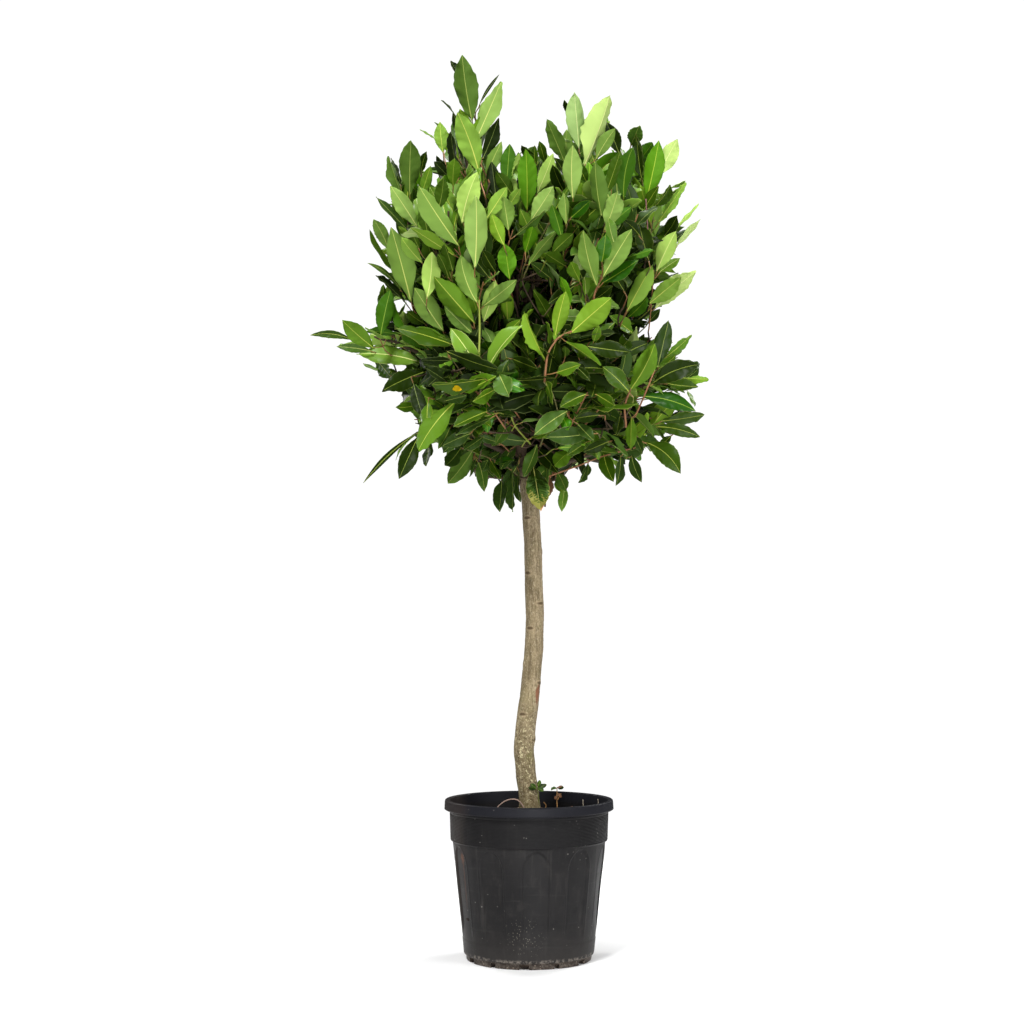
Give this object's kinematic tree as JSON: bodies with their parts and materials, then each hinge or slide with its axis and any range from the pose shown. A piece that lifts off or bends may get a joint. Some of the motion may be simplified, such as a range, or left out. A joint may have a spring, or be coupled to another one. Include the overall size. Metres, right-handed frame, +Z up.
{
  "type": "standard bay topiary in a nursery pot",
  "caption": "Bay tree grown as a standard: a ragged, leafy head on one clear woody stem, in a round black plastic nursery pot.",
  "frame": {"origin": "centre of the pot's flat underside", "axes": "+Z up along the stem, -Y the front that the reference picture shows, +X to its right"},
  "size_m": [0.706, 0.5821, 1.605],
  "materials": {
    "pot_plastic": "satin black recycled plastic",
    "compost": "dark moist potting compost",
    "bark": "smooth olive-brown bark with pale flecks",
    "bough_bark": "smooth brown-green bark of the boughs and twigs",
    "foliage": "glossy evergreen leaves"
  },
  "bodies": {
    "root": {"pot": "pot_plastic", "compost": "compost", "mass_leader_left": "foliage", "mass_leader_right": "foliage", "mass_crest": "foliage", "mass_shoulder_left": "foliage", "mass_shoulder_right": "foliage", "mass_upper_front_left": "foliage", "mass_upper_front_right": "foliage", "mass_upper_back_left": "foliage", "mass_upper_back_right": "foliage", "mass_arm_left": "foliage", "mass_arm_right": "foliage", "mass_low_left": "foliage", "mass_low_right": "foliage", "mass_lower_front_left": "foliage", "mass_lower_front_right": "foliage", "mass_lower_back_left": "foliage", "mass_lower_back_right": "foliage", "mass_skirt_left": "foliage", "mass_skirt_right": "foliage", "trunk": "bark", "bough_leader_left": "bough_bark", "bough_leader_right": "bough_bark", "bough_low_right": "bough_bark", "bough_low_left": "bough_bark", "bough_arm_left": "bough_bark", "bough_arm_right": "bough_bark", "bough_lower_front_left": "bough_bark", "bough_lower_front_right": "bough_bark", "bough_lower_back_left": "bough_bark", "bough_lower_back_right": "bough_bark", "bough_skirt_left": "bough_bark", "bough_skirt_right": "bough_bark", "bough_upper_front_left": "bough_bark", "bough_upper_front_right": "bough_bark", "bough_upper_back_left": "bough_bark", "bough_upper_back_right": "bough_bark", "bough_crest": "bough_bark", "bough_shoulder_left": "bough_bark", "bough_shoulder_right": "bough_bark"}
  },
  "joints": []
}
